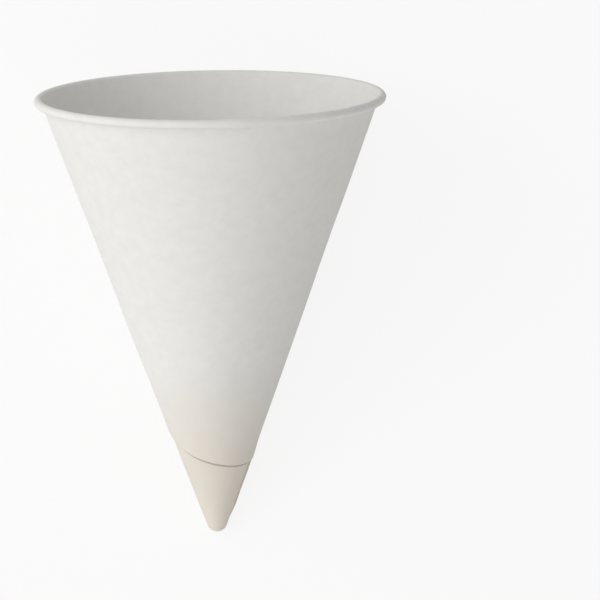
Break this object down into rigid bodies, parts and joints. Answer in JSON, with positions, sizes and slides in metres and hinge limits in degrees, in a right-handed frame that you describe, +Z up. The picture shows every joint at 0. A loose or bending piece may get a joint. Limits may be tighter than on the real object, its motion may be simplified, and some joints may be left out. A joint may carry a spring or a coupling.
{
  "type": "cone paper cup",
  "caption": "White paper cone cup with a rolled rim, a spiral glued lap and a blunt pinched tip, lying on its side.",
  "frame": {"origin": "on the ground, below the middle of the box of the cup as it lies on its side", "axes": "+Z up from the ground; the cup lies on its roll and its nose, with the nose to -Y and the mouth to +Y, open upwards at about 21 degrees; +X to the right of someone who looks along +Y"},
  "size_m": [0.073, 0.0988, 0.0681],
  "materials": {
    "paper": "matte uncoated white paper"
  },
  "bodies": {
    "root": {"cone_cup": "paper"}
  },
  "joints": []
}
